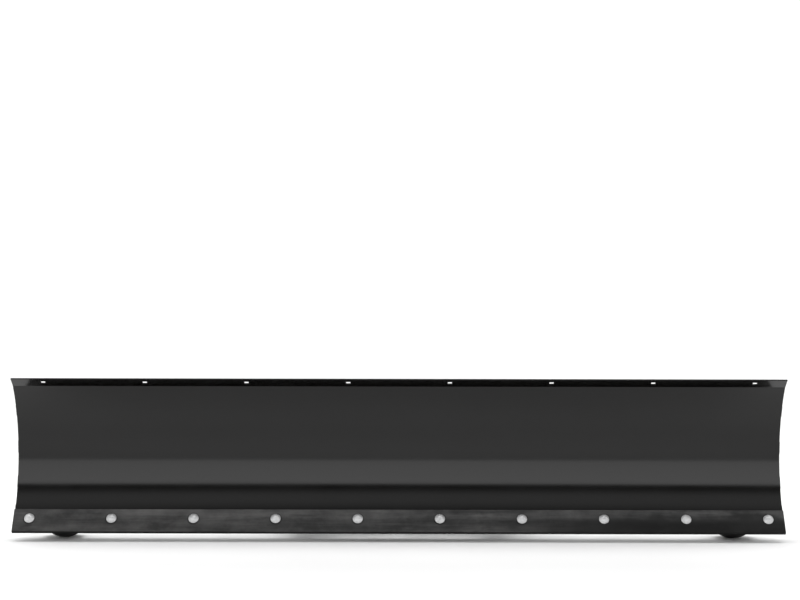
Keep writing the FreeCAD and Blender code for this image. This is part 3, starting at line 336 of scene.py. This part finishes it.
MATERIALS = {
    "powder_black": powder_coat(
        "black_powder_coat", level=0.0024, rough=0.13, specular=0.37, peel=0.00002, edge=0.0009
    ),
    "wear_steel": mill_steel(),
    "zinc": zinc_plate(),
    "shoe_iron": cast_iron(),
    "spring_steel": spring_steel(),
    "bronze": bronze(),
    "rubber": moulded("moulded_rubber", level=0.016, rough=0.75, grain_scale=700.0),
    "plastic": moulded("moulded_plastic", level=0.014, rough=0.5, grain_scale=1100.0),
}

slot_of = {part["node"]: part["material_slot"] for part in frame["record"]["subparts"]}
for name, obj in frame["nodes"].items():
    obj.data.materials.clear()
    obj.data.materials.append(MATERIALS[slot_of[name]])


# ---- mesh helpers ----------------------------------------------------------------------------------
SMOOTH_UP_TO_DEG = 50.0


def tube(points, radii, sides):
    """Vertices and faces of a round bar along points in metres, with its own radius at each point."""
    points = np.array([tuple(p) for p in points], float)
    tangents = np.gradient(points, axis=0)
    tangents /= np.linalg.norm(tangents, axis=1)[:, None]
    side = np.cross(tangents[0], (0.13, 0.71, 0.69))
    side /= np.linalg.norm(side)
    verts, faces = [], []
    turn = 2 * math.pi * np.arange(sides) / sides
    for point, tangent, radius in zip(points, tangents, radii):
        side = side - tangent * (side @ tangent)
        side /= np.linalg.norm(side)
        other = np.cross(tangent, side)
        ring = point + radius * (np.outer(np.cos(turn), side) + np.outer(np.sin(turn), other))
        verts.extend(map(tuple, ring))
    for k in range(len(points) - 1):
        for j in range(sides):
            a, b = k * sides + j, k * sides + (j + 1) % sides
            faces.append((a, b, b + sides, a + sides))
    faces.append(tuple(reversed(range(sides))))
    faces.append(tuple(range((len(points) - 1) * sides, len(points) * sides)))
    return verts, faces


def add_piece(name, shapes, body, slot):
    """One smooth-shaded object from several (vertices, faces) shapes, riding on a body if one is given."""
    verts, faces = [], []
    for more_verts, more_faces in shapes:
        base = len(verts)
        verts.extend(more_verts)
        faces.extend(tuple(i + base for i in face) for face in more_faces)
    mesh = bpy.data.meshes.new(name)
    mesh.from_pydata(verts, [], faces)
    mesh.update()
    mesh.polygons.foreach_set("use_smooth", [True] * len(mesh.polygons))
    mesh.set_sharp_from_angle(angle=math.radians(SMOOTH_UP_TO_DEG))
    mesh.materials.append(MATERIALS[slot])
    obj = bpy.data.objects.new(name, mesh)
    scene.collection.objects.link(obj)
    if body:
        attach(obj, body)
    return obj


# ---- trip springs and the lock spring --------------------------------------------------------------
SPRING_X = 230.0
SPRING_REAR = (340.0, 165.0)
SPRING_TOP_R, SPRING_TOP_DEG = 300.0, 26.0
SPRING_TOP = (
    ARC_Y + SPRING_TOP_R * math.cos(math.radians(SPRING_TOP_DEG)),
    ARC_Z + SPRING_TOP_R * math.sin(math.radians(SPRING_TOP_DEG)),
)
PIN_TO_COIL = 0.0292
LOCK_Y = 410.0
WIRE_SIDES = 10
TRIP_WIRE_R, LOCK_WIRE_R = 0.0035, 0.0011
TRIP_WINDING = {"radius": 0.0205, "turns": 31, "steps": 20, "closed_turns": 1.5, "closed_pitch": 0.0071}
LOCK_WINDING = {"radius": 0.0122, "turns": 5.5, "steps": 28, "closed_turns": 0.75, "closed_pitch": 0.0023}


def helix(start, end, radius, turns, steps, closed_turns, closed_pitch):
    """Points of a coil from start to end, with turns lying against each other at both ends."""
    axis = (end - start).normalized()
    side = axis.orthogonal().normalized()
    other = axis.cross(side)
    length = (end - start).length
    open_pitch = (length - 2 * closed_turns * closed_pitch) / (turns - 2 * closed_turns)
    points = []
    for k in range(int(turns * steps) + 1):
        turn = k / steps
        closed = min(turn, closed_turns) + max(0.0, turn - (turns - closed_turns))
        along = closed * closed_pitch + (turn - closed) * open_pitch
        angle = 2 * math.pi * turn
        points.append(start + axis * along + (side * math.cos(angle) + other * math.sin(angle)) * radius)
    return points


def coil(name, node_name, low, high, wire_radius, winding):
    """A wound spring in place of a CAD one, stretching between the bodies that hold its two ends."""
    points = helix(low, high, **winding)
    wire = tube(points, [wire_radius] * len(points), WIRE_SIDES)
    piece = add_piece(name, [wire], None, "spring_steel")
    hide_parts(node_name)
    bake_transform(piece)


for sign, side_name in ((-1, "left"), (1, "right")):
    rear, top = at(sign * SPRING_X, *SPRING_REAR), at(sign * SPRING_X, *SPRING_TOP)
    gap = (top - rear).normalized() * PIN_TO_COIL
    coil(
        f"trip_coil_{side_name}",
        f"trip_spring_{side_name}",
        rear + gap,
        top - gap,
        TRIP_WIRE_R,
        TRIP_WINDING,
    )

spring_low, spring_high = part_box("lock_spring")
lock_y = at(0, LOCK_Y, 0).y
lock_low = Vector((0, lock_y, spring_low.z + LOCK_WIRE_R))
lock_high = Vector((0, lock_y, spring_high.z - LOCK_WIRE_R))
coil("lock_coil", "lock_spring", lock_low, lock_high, LOCK_WIRE_R, LOCK_WINDING)


# ---- weld beads ------------------------------------------------------------------------------------
RIPPLE_PITCH, RIPPLE_DEPTH = 4.6, 0.14
BEAD_STEP, BEAD_SIDES = 1.15, 8
BEAD_WANDER, BEAD_SWELL = 0.12, 0.04
BACK_OF_ARC = ARC_R + SHEET
RIB_T, PIVOT_RIB_T, END_RIB_INSET = 5.0, 8.0, 1.0
PLAIN_RIBS_X, PIVOT_RIBS_X = (460.0, 700.0), (192.0, 260.0)
TOP_RAIL_DEG, TOP_RAIL_HALF = 33.0, 12.9
SOCKET_X, SOCKET_R, BRACKET_T = 806.0, 17.0, 6.0
ARM_FRONT, ARM_REAR, ARM_SIDE, ARM_LOW = (42.0, 320.0), (215.0, 790.0), 38.0, 93.0
LIFT_LOOP_X, LIFT_LOOP_Y, LIFT_LOOP_Z, LIFT_LOOP_BEAD_R = 31.0, 520.0, 131.4, 6.6


def resample(points, step):
    """Evenly spaced points along a polyline, about step apart, and its length."""
    points = [Vector(p) for p in points]
    lengths = [0.0]
    for a, b in zip(points, points[1:]):
        lengths.append(lengths[-1] + (b - a).length)
    count = max(6, int(round(lengths[-1] / step)))
    made, k = [], 0
    for n in range(count + 1):
        target = lengths[-1] * n / count
        while k < len(points) - 2 and lengths[k + 1] < target:
            k += 1
        span = max(lengths[k + 1] - lengths[k], 1e-9)
        made.append(points[k].lerp(points[k + 1], (target - lengths[k]) / span))
    return made, lengths[-1]


def bead(points, radius, chance):
    """A weld bead along (x, y, z) points in millimetres: overlapping ripples and rounded ends."""
    points, length = resample(points, BEAD_STEP)
    radii = []
    for n in range(len(points)):
        along = length * n / (len(points) - 1)
        ripple = 1 - RIPPLE_DEPTH + RIPPLE_DEPTH * abs(math.cos(math.pi * along / RIPPLE_PITCH))
        from_end = min(along, length - along) + 0.4
        end = math.sqrt(max(0.0, 1 - (1 - min(1.0, from_end / (radius * 1.3))) ** 2))
        swell = 1 + chance.uniform(-BEAD_SWELL, BEAD_SWELL)
        radii.append(radius / 1000 * ripple * max(0.2, end) * swell)
    wander = [Vector([chance.uniform(-BEAD_WANDER, BEAD_WANDER) for _ in range(3)]) for _ in points]
    placed = [at(*(p + w)) for p, w in zip(points, wander)]
    return tube(placed, radii, BEAD_SIDES)


def straight(start, end):
    """A straight line as its start, middle and end."""
    return [start, tuple((a + b) / 2 for a, b in zip(start, end)), end]


def arc_points(radius, top_deg, bottom_deg, x, count=8):
    """A line round the arc of the blade."""
    made = []
    for k in range(count + 1):
        angle = math.radians(top_deg + (bottom_deg - top_deg) * k / count)
        made.append((x, ARC_Y + radius * math.cos(angle), ARC_Z + radius * math.sin(angle)))
    return made


def ring_points(x, y, z, radius, count=24):
    """A closed level circle."""
    angles = [2 * math.pi * k / count for k in range(count + 1)]
    return [(x + radius * math.cos(a), y + radius * math.sin(a), z) for a in angles]


def on_flat(x, along, depth):
    """A point in the frame of the flat that carries the wear bar."""
    lean = math.radians(FLAT_DEG)
    start = math.radians(ARC_BOTTOM_DEG)
    y = ARC_Y + ARC_R * math.cos(start) - along * math.sin(lean) + depth * math.cos(lean)
    z = ARC_Z + ARC_R * math.sin(start) - along * math.cos(lean) - depth * math.sin(lean)
    return (x, y, z)


def both(lines):
    """The lines and their mirror images."""
    return lines + [[(-x, y, z) for x, y, z in line] for line in lines]


def stitches(make, first, last, length, pitch):
    """Short lines along X from first to last; make(x) gives a point."""
    lines, x = [], first
    while x + length <= last:
        lines.append([make(x), make(x + length / 2), make(x + length)])
        x += pitch
    return lines


def rib_lines(x0, thickness):
    """Stitches along both faces of a rib: against the sheet, and across the lower rail's shelf."""
    lines = []
    for x in (x0, x0 + thickness):
        for top, bottom in ((29.0, 22.0), (8.0, 1.0), (-11.0, -18.0), (-27.0, -32.0)):
            lines.append(arc_points(BACK_OF_ARC + 0.1, top, bottom, x))
        lines.append([on_flat(x, SHELF_DROP - 0.2, depth) for depth in (8.0, 24.0, 40.0)])
    return lines


def top_rail_corner(offset):
    """make(x) for stitches() along the edge of the top rail that lies offset up the sheet's back."""
    top = math.radians(TOP_RAIL_DEG)
    reach = BACK_OF_ARC + 0.3
    y = ARC_Y + reach * math.cos(top) - offset * math.sin(top)
    z = ARC_Z + reach * math.sin(top) + offset * math.cos(top)
    return lambda x: (x, y, z)


def weld_beads(name, lines, radius, chance, body):
    """One piece of all the beads along lines."""
    add_piece(name, [bead(line, radius, chance) for line in lines], body, "powder_black")


def blade_welds():
    """Ribs and both rails against the back of the blade."""
    chance = random.Random(11)
    ribs = []
    for x in PLAIN_RIBS_X:
        ribs += both(rib_lines(x - RIB_T / 2, RIB_T))
    ribs += rib_lines(-RIB_T / 2, RIB_T)
    ribs += both(rib_lines(BLADE_HALF - END_RIB_INSET - RIB_T, RIB_T))
    for x0 in PIVOT_RIBS_X:
        ribs += both(rib_lines(x0, PIVOT_RIB_T))
    shapes = [bead(line, 2.6, chance) for line in ribs]
    rails = stitches(lambda x: on_flat(x, SHELF_DROP + RAIL_LEG + 0.3, SHEET + 0.3), -880, 880, 45, 150)
    rails += stitches(lambda x: on_flat(x, SHELF_DROP - 0.3, SHEET + 0.3), -830, 860, 40, 150)
    rails += stitches(top_rail_corner(TOP_RAIL_HALF), -880, 880, 42, 160)
    rails += stitches(top_rail_corner(-TOP_RAIL_HALF), -800, 840, 42, 160)
    shapes += [bead(line, 2.4, chance) for line in rails]
    add_piece("blade_weld_beads", shapes, "blade", "powder_black")


def socket_welds():
    """Bracket plates against the blade, and shoe sockets between their brackets."""
    lines = []
    for side in (-1, 1):
        inner = SOCKET_X + side * SOCKET_R
        for x in (inner, inner + side * BRACKET_T):
            lines.append(arc_points(BACK_OF_ARC + 0.1, -19.0, -29.0, x))
        for y in (104.0, 125.0):
            lines.append(straight((inner, y, 70.0), (inner, y, 114.0)))
    weld_beads("socket_weld_beads", both(lines), 2.2, random.Random(23), "blade")


def swivel_welds():
    """Plates, gussets, anchor plates and stop blocks on the swivel's cross tube."""
    lines = []
    for z in (137.0, 87.0):
        lines += stitches(lambda x, z=z: (x, 182.0, z), -180, 182, 44, 78)
        lines += stitches(lambda x, z=z: (x, 230.2, z), -96, 98, 40, 70)
    sided = []
    for x in (105.0, 111.0, 194.0, 200.0, 260.0, 266.0):
        sided.append(straight((x, 230.2, 90.0), (x, 230.2, 134.0)))
    for y in (180.0, 230.0):
        sided.append(straight((194.0, y, 137.2), (266.0, y, 137.2)))
    for x in (205.0, 255.0):
        sided.append(straight((x, 180.0, 100.0), (x, 180.0, 124.0)))
    for z in (99.0, 125.0):
        sided.append(straight((206.0, 180.0, z), (254.0, 180.0, z)))
    weld_beads("swivel_weld_beads", lines + both(sided), 2.6, random.Random(37), "swivel")


def arm_edge(side, y):
    """X of an edge of the right push arm at that Y; side is -1 for the inner edge and 1 for the outer."""
    (x0, y0), (x1, y1) = ARM_FRONT, ARM_REAR
    slope = (x1 - x0) / (y1 - y0)
    return x0 + slope * (y - y0) + side * ARM_SIDE / 2 * math.hypot(1, slope)


def push_frame_welds():
    """Head plates, arms, cross tubes, ears, lock tower and lift loop of the push frame."""
    sided = []
    for z in (ARM_LOW, ARM_LOW + ARM_SIDE):
        for low, high in ((335, 365), (395, 425), (448, 476)):
            sided.append(straight((arm_edge(1, low), low, z), (arm_edge(1, high), high, z)))
        sided.append(straight((arm_edge(-1, 789.5), 789.6, z), (arm_edge(1, 789.5), 789.6, z)))
    for side, y, face_y in ((-1, 790.0, 789.8), (1, 790.0, 789.8), (-1, 501.0, 501.0), (-1, 539.0, 539.0)):
        x = arm_edge(side, y)
        sided.append(straight((x, face_y, 95.0), (x, face_y, 129.0)))
    for z in (ARM_LOW, ARM_LOW + ARM_SIDE):
        sided.append(straight((arm_edge(-1, 502), 502, z), (arm_edge(-1, 538), 538, z)))
        sided.append(straight((230.0, 792.0, z), (230.0, 826.0, z)))
    for y in (790.0, 828.0):
        sided.append(straight((230.0, y, 95.0), (230.0, y, 129.0)))
    lines = both(sided)
    for y in (436.0, 444.0):
        lines.append(straight((-27.0, y, 136.2), (27.0, y, 136.2)))
    for x in (-22.0, -16.0, 16.0, 22.0):
        lines.append(straight((x, 447.0, 136.2), (x, 470.0, 136.2)))
    for x in (-LIFT_LOOP_X, LIFT_LOOP_X):
        lines.append(ring_points(x, LIFT_LOOP_Y, LIFT_LOOP_Z, LIFT_LOOP_BEAD_R))
    weld_beads("frame_weld_beads", lines, 2.6, random.Random(53), "push_frame")


blade_welds()
socket_welds()
swivel_welds()
push_frame_welds()


# ---- floor, world and light ------------------------------------------------------------------------
FLOOR_HALF = 120.0
# Painted shade: the black mixed into the floor ahead of the blade, and where it comes in and fades out again.
FLOOR_PAINTED_SHADE = 0.22
SHADE_FROM_Y, SHADE_FULL_Y = -0.46, -0.82
FADE_FROM_Y, FADE_END_Y = -8.0, -25.0
FADE_FROM_X, FADE_END_X = 2.6, 7.0

# Brightness by the sine of the height above the horizon.
AHEAD_LEVELS = [(0.00, 1.9), (0.30, 2.1), (0.420, 2.3), (0.434, 0.01), (0.490, 0.04), (0.60, 0.74)]
AHEAD_LEVELS += [(0.72, 0.76), (0.765, 0.22), (0.79, 0.08), (0.87, 0.12), (0.95, 1.9)]
AROUND_LEVELS = [(0.0, 1.25), (0.85, 1.3), (0.95, 1.9)]
WORLD_STRENGTH = 2.5


def studio_floor():
    """A pale floor, with painted shade in front of the blade, which mirrors it."""
    material, tree, shader, coords = start_material("studio_floor")
    cloud = noise(tree, coords, 1.5, 3.0, 0.5)
    colour = ramp(tree, cloud, [(0.3, grey(0.86)), (0.7, grey(0.89))])
    x, y, _ = split(tree, coords)
    aside = maths(tree, "ABSOLUTE", x)
    # Painted shade on the floor ahead of the blade.
    ahead = maths(tree, "MULTIPLY", between(tree, y, SHADE_FROM_Y, SHADE_FULL_Y), FLOOR_PAINTED_SHADE)
    ahead = maths(tree, "MULTIPLY", ahead, between(tree, y, FADE_END_Y, FADE_FROM_Y))
    ahead = maths(tree, "MULTIPLY", ahead, between(tree, aside, FADE_END_X, FADE_FROM_X))
    tree.links.new(mix(tree, ahead, colour, grey(0.0)), shader.inputs["Base Color"])
    shader.inputs["Roughness"].default_value = 0.9
    shader.inputs["Specular IOR Level"].default_value = 0.1
    mesh = bpy.data.meshes.new("studio_floor")
    corners = [(sx * FLOOR_HALF, sy * FLOOR_HALF, 0) for sx, sy in ((-1, -1), (1, -1), (1, 1), (-1, 1))]
    mesh.from_pydata(corners, [], [(0, 1, 2, 3)])
    mesh.materials.append(material)
    floor = bpy.data.objects.new("studio_floor", mesh)
    scene.collection.objects.link(floor)


def studio_world():
    """White all round. Ahead of the blade, for its mirror image, a bright wall up to about 25 degrees, a
    black gap over it, a dimmer ceiling from about 35 degrees, a dark one from 50, and white overhead."""
    world = bpy.data.worlds.new("studio")
    world.use_nodes = True
    tree = world.node_tree
    tree.nodes.clear()
    _, y, z = split(tree, tree.nodes.new("ShaderNodeTexCoord").outputs["Generated"])
    height = maths(tree, "MAXIMUM", z, 0.0)
    ahead = between(tree, maths(tree, "MULTIPLY", y, -1.0), 0.12, 0.40)
    around_colour, ahead_colour = (
        ramp(tree, height, [(position, grey(level / WORLD_STRENGTH)) for position, level in levels])
        for levels in (AROUND_LEVELS, AHEAD_LEVELS)
    )
    colour = mix(tree, ahead, around_colour, ahead_colour)
    background = node(tree, "ShaderNodeBackground", {"Color": colour, "Strength": WORLD_STRENGTH})
    output = tree.nodes.new("ShaderNodeOutputWorld")
    tree.links.new(background.outputs[0], output.inputs[0])
    scene.world = world


def soft_light(name, location, target, size, watts):
    data = bpy.data.lights.new(name, "AREA")
    data.shape = "RECTANGLE"
    data.size, data.size_y = size
    data.energy = watts
    lamp = bpy.data.objects.new(name, data)
    lamp.location = location
    lamp.rotation_euler = (Vector(target) - Vector(location)).to_track_quat("-Z", "Y").to_euler()
    scene.collection.objects.link(lamp)


studio_floor()
studio_world()
soft_light("overhead_softbox", (-0.6, 0.6, 3.6), target=(0, 0, 0), size=(3.2, 2.0), watts=45.0)
soft_light("front_top_softbox", (0, -1.2, 3.5), target=(0, -1.2, 0), size=(4.0, 0.8), watts=24.0)
